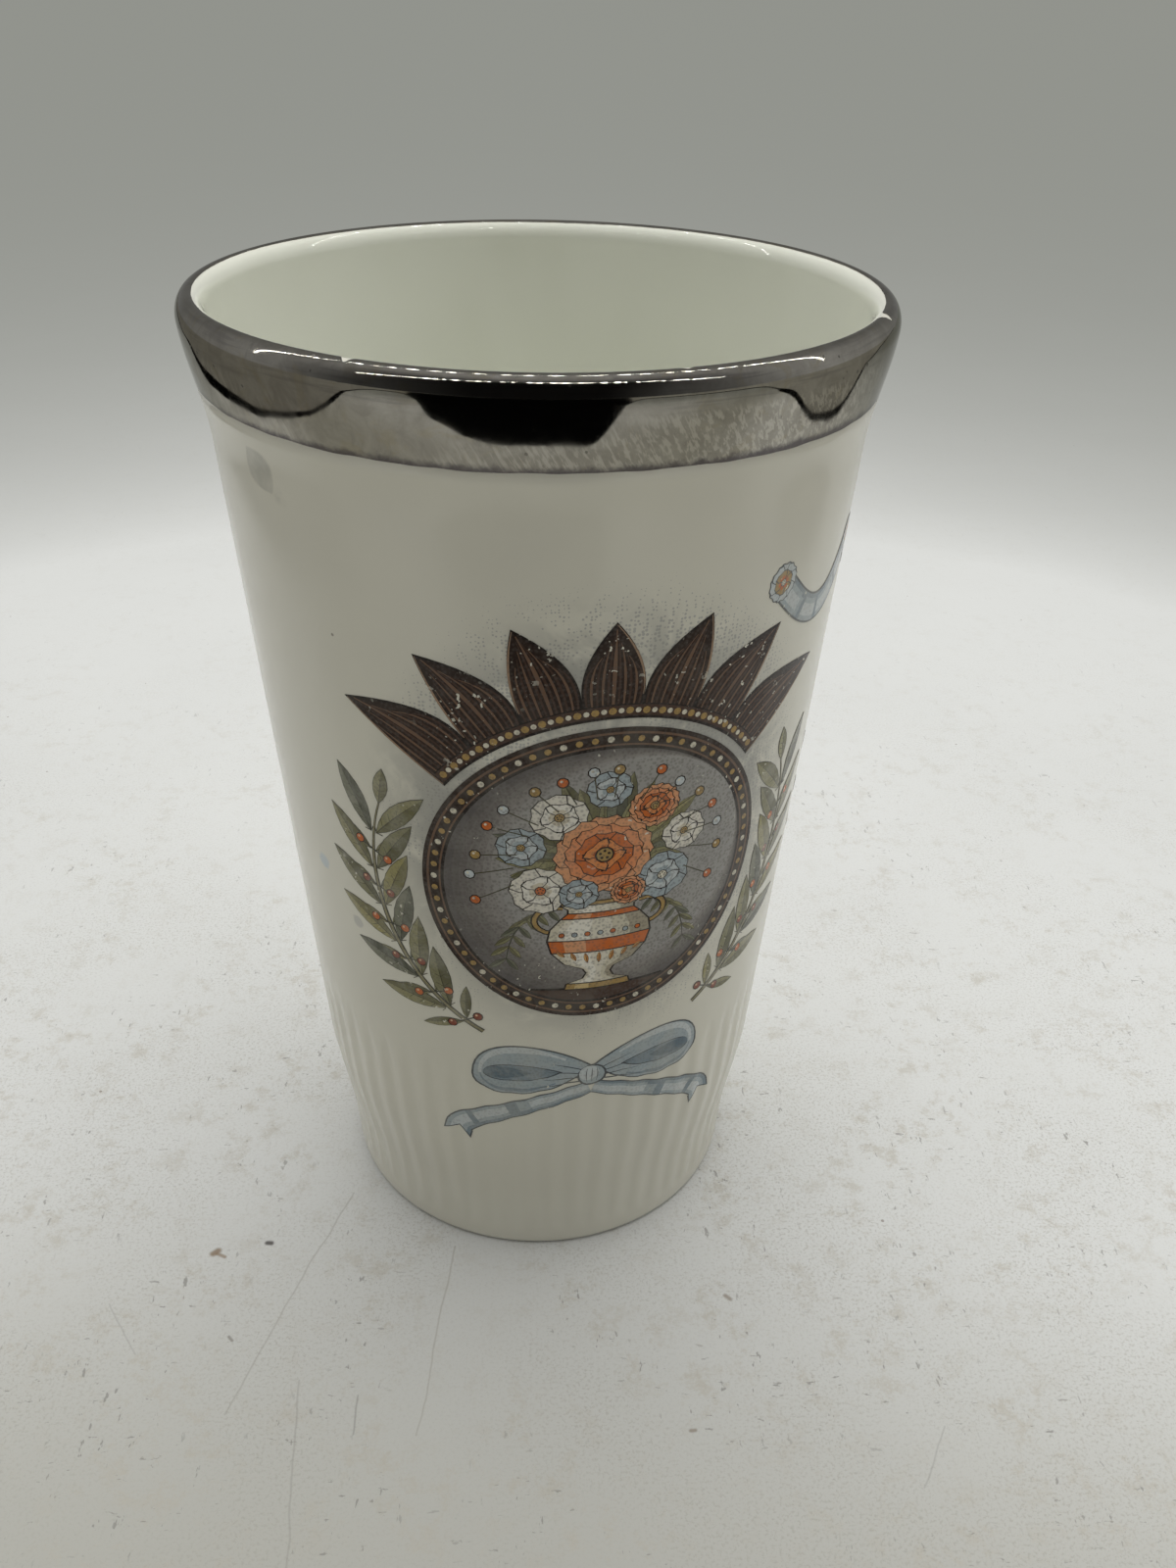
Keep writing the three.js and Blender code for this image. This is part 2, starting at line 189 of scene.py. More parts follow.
def body_rings():
    """From the middle of the foot's recess, up the outside, over the lip and down to the inside floor."""
    top = lip_point(pi)
    slope = (top[0] - INNER_AT_FLOOR) / (top[1] - FLOOR_HEIGHT)
    lean = atan(slope)
    corner_z = FLOOR_HEIGHT + CORNER
    corner_r = INNER_AT_FLOOR + slope * CORNER - CORNER / cos(lean)
    recess = FOOT_INNER - RECESS_TAPER
    outline = [(r, RECESS) for r in (6, 12, 18, recess - 0.5)]
    outline += [(recess + 0.1 * k, RECESS - 0.3 * k) for k in range(5)]
    outline += [(FOOT_INNER + SEAT_EDGE, 0.1), (FOOT_INNER + SEAT, 0)]
    width = float(skirt_radius(FOOT_RISE)) - FOOT_OUTER
    for angle in np.linspace(-pi / 2, 0, 8)[:-1]:
        outline.append((FOOT_OUTER + width * cos(angle), FOOT_RISE * (1 + sin(angle))))
    rings = [np.array([[0, 0, RECESS]])] + [ring(WALL_COLUMNS, *spot) for spot in outline]
    heights = [*np.linspace(FOOT_RISE, 4, 7), *np.linspace(5, 22, 12), *np.linspace(23.2, FLUTE_TOP, 15)]
    rings += [ring(SKIRT_COLUMNS, outer_radius, z) for z in heights]
    rings += [ring(WALL_COLUMNS, outer_radius, z) for z in np.linspace(38, HEIGHT - RIM_DEPTH, 14)]
    under = HEIGHT - BAND_DEPTH - BAND_EDGE
    outline = [rim_side(z, 0) for z in np.linspace(HEIGHT - RIM_DEPTH, under, 9)[1:]]
    outline += [rim_side(z, BAND_FILM) for z in np.linspace(under + BAND_STEP, LIP_START_Z, 9)[:-1]]
    outline += [lip_point(angle, BAND_FILM) for angle in np.linspace(LIP_START, FINE_FROM, 9)]
    rings += [ring(WALL_COLUMNS, *spot) for spot in outline]
    rings += [ring(RIM_COLUMNS, *lip_point(angle, BAND_FILM)) for angle in np.linspace(FINE_TO, pi, 20)]
    low = np.array((corner_r + CORNER * cos(lean), corner_z - CORNER * sin(lean)))
    outline = [mix(np.array(top), low, t) for t in np.linspace(0, 1, 16)[1:-1]]
    outline += [(corner_r + CORNER * cos(angle), corner_z + CORNER * sin(angle))
                for angle in np.linspace(-lean, -pi / 2, 12)]
    outline += [(r, FLOOR_HEIGHT) for r in (13, 8, 3)]
    rings += [ring(WALL_COLUMNS, *spot) for spot in outline]
    return rings + [np.array([[0, 0, FLOOR_HEIGHT]])]


def wobble(azimuth, seed, waves, size):
    """A sum of a few waves round the cup, the same on each run."""
    rng = Random(seed)
    total = 0 * azimuth
    for wave in waves:
        total = total + rng.uniform(0.4, 1) * np.sin(wave * azimuth + rng.uniform(0, TURN)) / sqrt(wave)
    return size * total


# Chips in the lip's metal: azimuth, half the width, and reach back over the lip, in radians
CHIPS = ((-0.473, 0.014, 0.6), (1.18, 0.02, 0.9), (0.35, 0.012, 0.3))


def band_rings():
    """The lustre film: its outside up over the lip, then its inside back down. Both its edges wander."""
    azimuth = np.arange(BAND_COLUMNS) * TURN / BAND_COLUMNS
    low = HEIGHT - BAND_DEPTH + wobble(azimuth, 3, (1, 2, 5, 9, 17, 31, 57), 0.16) + BAND_EDGE
    inner = np.radians(105 - 7 * np.cos(azimuth)) + wobble(azimuth, 5, (3, 7, 13, 29, 61, 97), 0.035)
    for spot, width, bite in CHIPS:
        inner = inner - bite * np.exp(-((azimuth - spot % TURN) / width) ** 2)
    outside, inside = [], []
    layers = ((outside, BAND_INSET), (inside, 0.9 * BAND_FILM))
    for t in np.linspace(0, 1, 17)[:-1]:
        for row, inset in layers:
            row.append(around(azimuth, *rim_side(mix(low, LIP_START_Z, t), inset)))
    for t in np.linspace(0, 1, 24):
        for row, inset in layers:
            row.append(around(azimuth, *lip_point(mix(LIP_START, inner, t), inset)))
    return outside + inside[::-1]


# Flat drawing
def rgb(value):
    """A colour written as 0xrrggbb, in linear light."""
    parts = [(value >> shift & 255) / 255 for shift in (16, 8, 0)]
    return tuple(c / 12.92 if c <= 0.04045 else ((c + 0.055) / 1.055) ** 2.4 for c in parts)


def polar(radius, angle, centre=(0, 0)):
    """Angles count clockwise from straight up."""
    return (centre[0] + radius * sin(angle), centre[1] + radius * cos(angle))


def quad_curve(a, b, c, count=6):
    a, b, c = np.array((a, b, c), float)
    return [mix(mix(a, b, t), mix(b, c, t), t) for t in np.linspace(0, 1, count + 1)]


def cubic_curve(a, b, c, d, count=12):
    a, b, c, d = np.array((a, b, c, d), float)
    return [(1 - t) ** 3 * a + 3 * (1 - t) ** 2 * t * b + 3 * (1 - t) * t * t * c + t ** 3 * d
            for t in np.linspace(0, 1, count + 1)]


def around_point(points, centre, scale, shift=(0, 0)):
    """Points drawn in towards a centre, then shifted."""
    return [centre + (np.array(q) - centre) * scale + shift for q in points]


def line_frame(points):
    """A line's points, and the unit vectors along it and to its left at each."""
    p = np.array(points, float)
    run = np.gradient(p, axis=0)
    run /= np.maximum(np.linalg.norm(run, axis=1), 1e-9)[:, None]
    return p, run, np.stack([-run[:, 1], run[:, 0]], 1)


STRIP = 1.5
# A petal's outline, along it and aside
PETAL = ((0.12, 0), (0.45, 0.8), (0.8, 1), (0.98, 0.5), (0.93, 0), (0.98, -0.5), (0.8, -1), (0.45, -0.8))


class Drawing:
    """Filled outlines in painting order. A later one covers an earlier one."""

    def __init__(self):
        self.outlines, self.colours, self.scale = [], [], 1

    def fill(self, points, colour):
        p = np.array(points, float) * self.scale
        x, y = p[:, 0], p[:, 1]
        if (x * np.roll(y, -1) - y * np.roll(x, -1)).sum() < 0:
            p = p[::-1]
        self.outlines.append(p)
        self.colours.append(rgb(colour))

    def disc(self, x, y, radius, colour, count=12):
        angles = np.arange(count) * TURN / count
        self.fill(np.stack([x + radius * np.cos(angles), y + radius * np.sin(angles)], 1), colour)

    def discs(self, x, y, count, *layers):
        for radius, colour in layers:
            self.disc(x, y, radius, colour, count)

    def stroke(self, points, width, colour, ends=(1, 1)):
        """A line of a width that tapers to a share of it at each end."""
        p, _, side = line_frame(points)
        way = np.concatenate([[0], np.cumsum(np.linalg.norm(np.diff(p, axis=0), axis=1))])
        t = way / way[-1]
        half = 0.5 * width * (1 - (1 - ends[0]) * (1 - smooth(t, 0, 0.5)) - (1 - ends[1]) * smooth(t, 0.5, 1))
        side *= np.maximum(half, 0.02)[:, None]
        low, high = p - side, p + side
        for i in range(len(p) - 1):
            self.fill([low[i], low[i + 1], high[i + 1], high[i]], colour)

    def leaf(self, base, tip, width, tones, curl=0, veins=0, line=0.16):
        """A pointed leaf: dark outline, a light and a dark half, a midrib and side veins."""
        base, tip = np.array((base, tip), float)
        along = tip - base
        length = np.linalg.norm(along)
        across = np.array([-along[1], along[0]]) / length
        middle = base + 0.5 * along + curl * across
        outline, light, dark, rib = tones

        def half(sign, grow):
            return quad_curve(base - grow * along / length, middle + sign * (width + grow) * across,
                              tip + grow * along / length)
        ribs = half(0, 0)
        self.fill(half(1, line) + half(-1, line)[-2:0:-1], outline)
        self.fill(half(1, 0) + ribs[-2:0:-1], light)
        self.fill(half(-1, 0) + ribs[-2:0:-1], dark)
        self.stroke(ribs[:-1], 0.9 * line, rib, (1, 0.3))
        for k in range(veins):
            t = (k + 1) / (veins + 1.2)
            root = np.array(ribs[int(t * 6)])
            reach = 0.36 * width * sin(pi * min(t + 0.12, 1))
            for out in (reach * across, -reach * across):
                self.stroke([root, root + out + 0.7 * reach * along / length], 0.5 * line, rib)

    def flower(self, x, y, radius, rings, heart, line, squash=1, turn=0):
        """Rings of petals, each (count, reach, tone, shade), round a heart of dots."""
        for k, (count, reach, tone, shade) in enumerate(rings):
            for i in range(count):
                angle = turn + TURN * (i + 0.5 * (k % 2)) / count
                out = np.array([sin(angle), squash * cos(angle)])
                side = np.array([cos(angle), -squash * sin(angle)])
                r, w = reach * radius, 1.15 * reach * radius * pi / count
                petal = [(x, y) + along * r * out + aside * w * side for along, aside in PETAL]
                mid = (x, y) + 0.55 * r * out
                self.fill([mid + (p - mid) * (1 + 0.24 / r) for p in petal], line)
                self.fill(petal, tone)
                self.fill([mid + (p - mid) * 0.55 - 0.18 * r * out for p in petal], shade)
        self.discs(x, y, 10, (0.2 * radius, line), (0.16 * radius, heart))
        for i in range(5):
            self.disc(*polar(0.09 * radius, TURN * i / 5, (x, y)), 0.035 * radius, line, 5)

    def triangles(self, azimuth, height, lines_per_flute):
        """Cuts the drawing into triangles of one colour, none wider than a strip of the wall."""
        points, faces, edges = [], [], []
        for outline in self.outlines:
            faces.append(list(range(len(points), len(points) + len(outline))))
            points.extend(outline.tolist())
        (x0, y0), (x1, y1) = np.min(points, 0) - 0.5, np.max(points, 0) + 0.5
        step = TURN / FLUTES / lines_per_flute
        low, high = wall_radius(height + y0 * CLIMB), wall_radius(height + y1 * CLIMB)
        first, last = np.floor((azimuth + x0 / low) / step), np.ceil((azimuth + x1 / low) / step)
        turns = np.arange(first, last + 1) * step - azimuth
        heights = (np.arange(height + y0 * CLIMB, FLUTE_TOP + 1, STRIP) - height) / CLIMB
        cuts = [[(turn * low, y0), (turn * high, y1)] for turn in turns]
        cuts += [[(x0, y), (x1, y)] for y in heights]
        for ends in cuts:
            edges.append((len(points), len(points) + 1))
            points += ends
        verts, _, tris, _, _, owners = delaunay_2d_cdt(list(map(Vector, points)), edges, faces, 1, 1e-5, True)
        kept = [(t, max(o)) for t, o in zip(tris, owners) if o]
        flat = np.array([v[:] for v in verts])
        used, tris = np.unique([t for t, _ in kept], return_inverse=True)
        return flat[used], tris.reshape(-1, 3).tolist(), [self.colours[o] for _, o in kept]


FILM_LOW, FILM_TOP = 0.012, 0.045


def film(name, drawing, azimuth, height, material, lines_per_flute):
    """Wraps a drawing round the wall as a thin closed film with its colours on its corners."""
    flat, tris, colours = drawing.triangles(azimuth, height, lines_per_flute)
    z = height + flat[:, 1] * CLIMB
    turn = azimuth + flat[:, 0] / wall_radius(z)
    face_radius = outer_radius(turn, z)
    count = len(flat)
    verts = np.concatenate([around(turn, face_radius + rise, z) for rise in (FILM_TOP, FILM_LOW)])
    edge_uses = {}
    for number, (a, b, c) in enumerate(tris):
        for edge in ((a, b), (b, c), (c, a)):
            edge_uses.setdefault(tuple(sorted(edge)), []).append((edge, number))
    faces = tris + [[a + count, c + count, b + count] for a, b, c in tris]
    tones = colours + colours
    span = (flat.max(0) - flat.min(0)).max() + 1
    corner_xy = [flat[v % count] for face in faces for v in face]
    for uses in edge_uses.values():
        if len(uses) == 1:
            (a, b), number = uses[0]
            faces.append([b, a, a + count, b + count])
            tones.append(colours[number])
            middle = flat[tris[number]].mean(0)
            corner_xy += [flat[b], flat[a], *(0.3 * middle + 0.7 * flat[v] for v in (a, b))]
    ob = make_object(name, verts, faces, [material])
    layer = ob.data.color_attributes.new("enamel", "FLOAT_COLOR", "CORNER")
    corners = [(*tone, 1) for face, tone in zip(faces, tones) for _ in face]
    layer.data.foreach_set("color", np.array(corners, np.float32).ravel())
    set_map(ob, (np.array(corner_xy) - flat.min(0) + 0.5) / span)
    return ob


# The print
MOTIF_HEIGHT, FRONT, SIDE = 61, radians(12), radians(132)
MEDALLION, STILL_LIFE = 19, 1.08
CREST_GAP, CREST_HALF, LOBES, NOTCH = 1, radians(54), 7, 2.6
CREST_SIDE, CREST_TOP, CREST_SWEEP = 14, 10.4, radians(9)
SPRAY, SPRAY_FROM, SPRAY_TO, LEAF_PAIRS = 25, radians(30), radians(98), 6
STEM_HALF, LEAF_LENGTH, LEAF_BULGE, LEAF_SPLAY = 0.35, 8.4, 2.3, radians(36)
BOW_DROP, KNOT, LOOP_REACH, LOOP_PINCH, LOOP_RISE, LOOP_FALL = 28.6, 1.5, 14, 5.6, 6.6, 3.8
TAIL_REACH, TAIL_BEND, TAIL_DROP, RIBBON, FORK = 17.5, 2.2, 11.4, 3.6, 1.5
SWAG_RISE, SWAG_SPAN, SWAG_SAG, SWAG_WIDTH = 30.5, 16.4, 5, 3.2

INK, BROWN, BROWN_MID, BROWN_LIGHT = 0x1C120E, 0x2B1C14, 0x473227, 0x705542
OCHRE, ORANGE, PEACH, CREAM = 0xA98B52, 0xC9692B, 0xD99C70, 0xD8D2BE
BLUE, BLUE_DARK, BLUE_LIGHT, BLUE_LINE = 0xA0ACB0, 0x7C8B93, 0xC3CACA, 0x454B50
# Each green's outline, light half, dark half and ribs
GREENS = [(0x3B3A2A, 0x817E5C, 0x626043, 0x46442F), (0x403E2D, 0x8F8B64, 0x6E6B4A, 0x4D4A34),
          (0x36362B, 0x737460, 0x565848, 0x3F4032), (0x4A452D, 0x9A9360, 0x79744C, 0x565036)]
STEM_LINE, SPRIG, STALK = GREENS[2][0], GREENS[2][3], GREENS[0][3]


def medallion_art():
    rng = Random(11)
    art = Drawing()
    art.discs(0, 0, 96, (MEDALLION, BROWN), (MEDALLION - 0.5, BROWN_LIGHT), (MEDALLION - 0.75, BROWN))
    for i in range(72):
        art.disc(*polar(MEDALLION - 1.3, TURN * i / 72), 0.36, OCHRE if i % 3 else CREAM, 8)
    art.discs(0, 0, 96, (MEDALLION - 1.85, BROWN_LIGHT), (MEDALLION - 2.05, INK))
    field = MEDALLION - 2.4
    shades = [0x5F5B59, 0x67635F, 0x706B67, 0x78746F, 0x817C77, 0x8A8681, 0x93908B, 0x9B9994]
    for k, shade in enumerate(shades):
        art.disc(0.38 * k, 0.26 * k, field - 0.46 * k, shade, 72)
    ledge = [polar(field, a) for a in np.linspace(radians(152), radians(208), 16)]
    art.fill(ledge, BROWN_MID)
    art.stroke([(ledge[-1][0] + 0.2, ledge[-1][1]), (ledge[0][0] - 0.2, ledge[0][1])], 0.3, INK)

    art.scale = STILL_LIFE
    for i in range(34):
        angle = radians(mix(-118, 118, i / 33)) + rng.uniform(-0.06, 0.06)
        root = polar(3.5, angle, (0, 2.2))
        reach = rng.uniform(8.6, 11.6) * (1 - 0.16 * abs(sin(angle)) * (abs(angle) > 1.4))
        tip = polar(reach, angle + rng.uniform(-0.14, 0.14), (0, 1.6))
        art.leaf(root, tip, 1.9, rng.choice(GREENS), rng.uniform(-0.5, 0.5), 3, 0.12)
    for side in (-1, 1):
        sprig = quad_curve((side * 2.6, -2.6), (side * 8.6, -2.4), (side * 9.2, -9.4), 8)
        art.stroke(sprig, 0.22, SPRIG, (1, 0.4))
        for k in range(2, 9):
            for out in (-1, 1):
                p = sprig[k]
                tip = (p[0] + out * 1.5 + side * 0.3, p[1] - 1.5)
                art.leaf(p, tip, 0.62, GREENS[k % 3], 0, 0, 0.08)

    urn = [(3.3, -13.7), (3.1, -12.9), (1.5, -12.3), (1.15, -11.6), (1.5, -11), (3.4, -10.2), (4.7, -8.7),
           (5.15, -7.1), (4.9, -5.6), (3.9, -4.3), (3.2, -3.6), (3.2, -3.1), (3.9, -2.6), (3.9, -2.1)]

    def shell(left, right, low=-99, high=99, grow=0):
        rows = [(w, y) for w, y in urn if low <= y <= high]
        return ([(mix(-w, w, right) + grow, y) for w, y in rows]
                + [(mix(-w, w, left) - grow, y) for w, y in rows[::-1]])
    for side in (-1, 1):
        ends = ((4.7, -6), (7.6, -5.6), (6.9, -2.2), (3.8, -2.9))
        handle = cubic_curve(*((side * x, y) for x, y in ends), 10)
        art.stroke(handle, 0.75, INK, (0.8, 0.6))
        art.stroke(handle, 0.42, OCHRE, (0.8, 0.6))
    art.fill(shell(0, 1, grow=0.2), INK)
    for left, right, tone in ((0, 1, 0xCFC8B2), (0.08, 0.62, 0xDCD6C4), (0.16, 0.4, 0xEAE6D8),
                              (0.8, 1, 0xA69D88)):
        art.fill(shell(left, right), tone)
    for low, high, tone in ((-8.7, -7.1, ORANGE), (-4.3, -3.6, ORANGE), (-13.7, -12.9, OCHRE),
                            (-2.6, -2.1, OCHRE)):
        art.fill(shell(0, 1, low, high), tone)
        art.fill(shell(0.14, 0.36, low, high), PEACH if tone == ORANGE else 0xCDB47E)
        for y in (low, high):
            w = dict((b, a) for a, b in urn)[y]
            art.stroke([(-w, y), (0, y - 0.1), (w, y)], 0.14, INK)
    for i in range(-3, 4):
        art.leaf((i * 1.15, -10.3 + 0.12 * i * i), (i * 1.42, -8.95 + 0.05 * i * i), 0.42,
                 (INK, 0xD9A45C, 0xB67A3C, INK), 0, 0, 0.07)
    for i in range(-3, 4):
        art.discs(i * 1.28, -6.35, 8, (0.34, INK), (0.24, (BLUE, ORANGE)[i % 2]))

    rose = ((9, 1, PEACH, 0xC98255), (8, 0.78, 0xDB8F5F, 0xB9602C), (6, 0.56, ORANGE, 0xA94F1E),
            (4, 0.34, 0xD98A4E, 0xB65A25))
    pale = ((6, 1, 0xDDD8CA, 0xBDB5A4), (5, 0.6, 0xE8E4D8, 0xCFC6B0))
    blue = ((6, 1, BLUE, BLUE_DARK), (5, 0.6, BLUE_LIGHT, BLUE))
    for x, y, radius, rings, heart, turn in (
        (-7.9, 4.6, 2.3, blue, OCHRE, 0.3), (8.1, 4.4, 2.3, pale, OCHRE, 0.1),
        (-6, -0.6, 2.9, pale, ORANGE, 0.2), (6.1, -0.4, 2.9, blue, CREAM, 0.5),
        (-4.4, 8.1, 2.7, pale, OCHRE, 0.6), (4.7, 8.3, 2.6, rose, OCHRE, 0),
        (0.2, 10.9, 2.1, blue, OCHRE, 0.2), (0, 3.4, 4.9, rose, OCHRE, 0),
        (-2.3, -1.2, 1.9, blue, OCHRE, 0.4), (2.6, -1.4, 1.8, rose, OCHRE, 0.7),
    ):
        art.flower(x, y, radius, rings, heart, INK, 0.94, turn)
    for i in range(16):
        angle = radians(mix(-104, 104, i / 15)) + rng.uniform(-0.05, 0.05)
        bud = polar(rng.uniform(11.7, 12.9), angle, (0, 0.6))
        art.stroke([polar(8.6, angle * 0.96, (0, 1.4)), bud], 0.14, STALK)
        art.discs(*bud, 9, (0.62, INK), (0.48, (ORANGE, BLUE_LIGHT, OCHRE)[i % 3]))
        art.disc(bud[0] - 0.14, bud[1] + 0.14, 0.15, CREAM, 6)
    return art


def crest_art():
    art = Drawing()
    base = MEDALLION + CREST_GAP
    lobe = 2 * CREST_HALF / LOBES
    for k in sorted(range(LOBES), key=lambda k: -abs(k - (LOBES - 1) / 2)):
        start = CREST_HALF - k * lobe
        end = start - lobe
        aside = (start + end) / (2 * CREST_HALF)
        reach = mix(CREST_TOP, CREST_SIDE, abs(aside))
        tip_at = 0.5 * (start + end) + aside * CREST_SWEEP
        tip = polar(base + reach, tip_at)
        shoulder = 0.5 * (base + reach + base + NOTCH)
        first = polar(base + (NOTCH if k else 0), start)
        last = polar(base + (NOTCH if k < LOBES - 1 else 0), end)
        right = quad_curve(first, polar(shoulder, start), tip, 10)
        left = quad_curve(tip, polar(shoulder, end), last, 10)
        foot = [polar(base, a) for a in np.linspace(end, start, 6)]
        art.fill(right + left[1:] + foot, INK)
        inner = [polar(base + 0.3, a) for a in np.linspace(end + 0.012, start - 0.012, 6)]
        centre = np.array(polar(base + 0.4 * reach, mix(0.5 * (start + end), tip_at, 0.4)))
        art.fill(around_point(right + left[1:], centre, 0.93) + inner, BROWN)
        for row in range(-5, 6):
            spread = row / 5
            aim = mix(end, start, 0.5 + 0.5 * spread)
            root = polar(base + 0.8, mix(end, start, 0.5 + 0.42 * spread))
            bend = polar(mix(base, shoulder, 0.8), aim)
            point = polar(base + reach * (0.93 - 0.34 * abs(spread)),
                          mix(tip_at, aim, 0.16 + 0.35 * abs(spread)))
            art.stroke(quad_curve(root, bend, point, 7), 0.26 if row else 0.42,
                       BROWN_LIGHT if row % 2 == 0 else BROWN_MID, (0.6, 0.25))
        art.stroke(around_point(left if aside < 0 else right, centre, 0.96), 0.22, 0x9A7F66, (0.4, 0.4))
    band = [polar(base + 0.9, a) for a in np.linspace(-CREST_HALF + 0.02, CREST_HALF - 0.02, 48)]
    art.stroke(band, 1.5, INK)
    art.stroke(band, 1.2, BROWN_MID)
    for i in range(45):
        spot = polar(base + 0.9, mix(-CREST_HALF + 0.05, CREST_HALF - 0.05, i / 44))
        art.disc(*spot, *((0.3, CREAM) if i % 2 else (0.4, OCHRE)), 8)
    return art


def spray_art(side):
    rng = Random(21 + side)
    art = Drawing()

    def direction(angle):
        return np.array([side * sin(angle), -cos(angle)])

    def on_stem(angle, out):
        return direction(angle) * (SPRAY + out * STEM_HALF)
    stem_end = SPRAY_TO + LEAF_LENGTH / SPRAY * 0.5
    stem = [direction(a) * SPRAY for a in np.linspace(SPRAY_FROM, stem_end, 30)]
    angles = np.linspace(SPRAY_FROM, SPRAY_TO, LEAF_PAIRS + 1)[1:]
    halfway = angles - 0.5 * (angles[1] - angles[0])
    for angle in halfway:
        for out in (1, -1):
            heading = angle + pi / 2 - out * LEAF_SPLAY * 1.5
            root = on_stem(angle, out)
            tip = root + direction(heading) * LEAF_LENGTH * rng.uniform(0.5, 0.62)
            art.leaf(root, tip, 1.25, rng.choice(GREENS), rng.uniform(-0.3, 0.3), 2, 0.1)
    art.stroke(stem, 0.62, STEM_LINE, (1, 0.35))
    art.stroke(stem, 0.34, 0x8B8463, (1, 0.35))
    for number, angle in enumerate(angles):
        for out in (1, -1):
            heading = angle + pi / 2 - out * LEAF_SPLAY
            root = on_stem(angle, out)
            tip = root + direction(heading) * LEAF_LENGTH
            art.leaf(root, tip, LEAF_BULGE, GREENS[(number + (out > 0)) % 4], 0.35 * out * side, 5, 0.15)
    tip = stem[-1] + direction(SPRAY_TO + pi / 2) * 4.4
    art.leaf(stem[-1], tip, 1.7, GREENS[1], 0, 4, 0.14)
    for number, angle in enumerate(halfway):
        for out in (1, -1):
            spot = direction(angle + 0.03 * out) * (SPRAY + out * (1.5 + 0.3 * (number % 2)))
            art.stroke([on_stem(angle, 0), spot], 0.14, STEM_LINE)
            art.discs(*spot, 10, (0.62, INK), (0.5, ORANGE if number % 2 else 0x8A3F26))
            art.disc(spot[0] - 0.15, spot[1] + 0.17, 0.16, 0xE8C49C, 6)
    return art


RIBBON_LINE = 0.2


def ribbon(art, points, width, folds, fork=0):
    """A flat ribbon: outline, cloth with a light middle and a dark edge, folds, and maybe a forked end."""
    p, run, side = line_frame(points)
    width = width * np.ones(len(p))

    def strip(low, high, colour, first=0, last=None, past=0):
        q, s, w = p[first:last], side[first:last], width[first:last, None]
        ends = []
        if fork and last is None:
            inner = (0,) if low < 0 < high else ()
            ends = [p[-1] + u * width[-1] * side[-1] + (2 * fork * abs(u) + past) * run[-1]
                    for u in (low, *inner, high)]
        art.fill([*(q + low * w * s), *ends, *(q + high * w * s)[::-1]], colour)
    strip(-0.5, 0.5, BLUE_LINE)
    share = RIBBON_LINE / width.max()
    for low, high, tone in ((-0.5 + share, 0.5 - share, BLUE), (-0.28, 0.12, BLUE_LIGHT),
                            (0.3, 0.5 - share, BLUE_DARK)):
        strip(low, high, tone, past=-RIBBON_LINE)
    for at, span in folds:
        strip(-0.5 + share, 0.5 - share, BLUE_DARK, at, at + span + 1)
        strip(-0.4, 0.2, BLUE, at, at + span)


def bow_art():
    art = Drawing()
    for side in (-1, 1):
        middle = side * (TAIL_REACH - 0.5 * RIBBON)
        bend = -LOOP_FALL - TAIL_BEND - 0.5 * RIBBON
        tail = quad_curve((side * 0.3, -0.6 * RIBBON), (middle, bend), (middle, FORK - TAIL_DROP), 16)
        ribbon(art, tail, np.linspace(0.6 * RIBBON, RIBBON, 17), ((4, 2), (10, 1)), fork=FORK)
        reach, pinch = side * LOOP_REACH, side * LOOP_PINCH
        loop = cubic_curve((0, KNOT), (pinch, LOOP_RISE), (reach, LOOP_RISE), (reach, 0), 16)
        under = cubic_curve((reach, 0), (reach, -LOOP_FALL), (pinch, -LOOP_FALL), (side * KNOT, 0), 14)
        outline = loop + under[1:]
        centre = (0.57 * reach, 1.1)
        art.fill(outline, BLUE_LINE)
        art.fill(around_point(outline, centre, 0.96), BLUE)
        hole = around_point(outline, centre, (0.66, 0.34), (side * 0.7, -0.4))
        art.fill(hole, BLUE_LINE)
        art.fill(around_point(hole, (0.63 * reach, 0.7), 0.92), BLUE_DARK)
        art.fill(around_point(hole, (0.9 * reach, 0.7), (0.6, 0.7)), 0x5F717C)
        art.stroke(around_point(loop[2:], centre, 0.84), 1, BLUE_LIGHT, (0.3, 0.4))
        art.stroke(around_point(under[:-2], centre, 0.83), 0.6, BLUE_DARK, (0.3, 0.3))
        for k in range(4):
            out = side * (2.2 + 0.5 * k)
            crease = quad_curve((side * 1.1, 0.9 - 0.6 * k), (out, 1.5 - 0.9 * k),
                                (out + side * 2.4, 2.2 - 1.3 * k), 5)
            art.stroke(crease, 0.14, BLUE_LINE, (1, 0.2))
    art.discs(0, -0.1, 16, (KNOT + 0.25, BLUE_LINE), (KNOT, BLUE))
    art.disc(-0.35, 0.25, 0.8 * KNOT, BLUE_LIGHT, 14)
    for x in (-0.55, 0, 0.55):
        art.stroke(quad_curve((x, 1), (x * 1.5, 0), (x, -1.25), 5), 0.13, BLUE_LINE, (0.3, 0.3))
    return art


